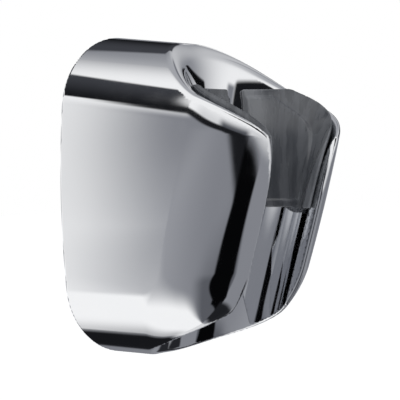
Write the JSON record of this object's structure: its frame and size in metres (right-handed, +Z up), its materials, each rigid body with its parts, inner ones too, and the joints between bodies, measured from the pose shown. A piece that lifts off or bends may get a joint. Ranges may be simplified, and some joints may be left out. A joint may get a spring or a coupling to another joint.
{
  "type": "wall-mounted hand shower holder",
  "caption": "Chromed wall holder with a tilted, front-slotted conical socket and smoked plastic liner for a hand shower, screwed to the wall on a hidden bracket.",
  "frame": {"origin": "centre of the wall bracket's back face, on the wall plane", "axes": "+Y into the wall, +Z up, +X to the right of someone facing the wall; the slot opens towards -Y"},
  "size_m": [0.0418, 0.0724, 0.074],
  "materials": {
    "housing_chrome": "polished",
    "liner_smoke": "smoked satin",
    "bracket_black": "moulded matt",
    "screw_steel": "zinc plated",
    "plug_nylon": "moulded matt",
    "grub_steel": "dark steel"
  },
  "bodies": {
    "root": {"housing": "housing_chrome", "socket_liner": "liner_smoke", "wall_bracket": "bracket_black", "wall_screw_top": "screw_steel", "wall_screw_bottom": "screw_steel", "wall_plug_top": "plug_nylon", "wall_plug_bottom": "plug_nylon", "grub_screw": "grub_steel"}
  },
  "joints": []
}
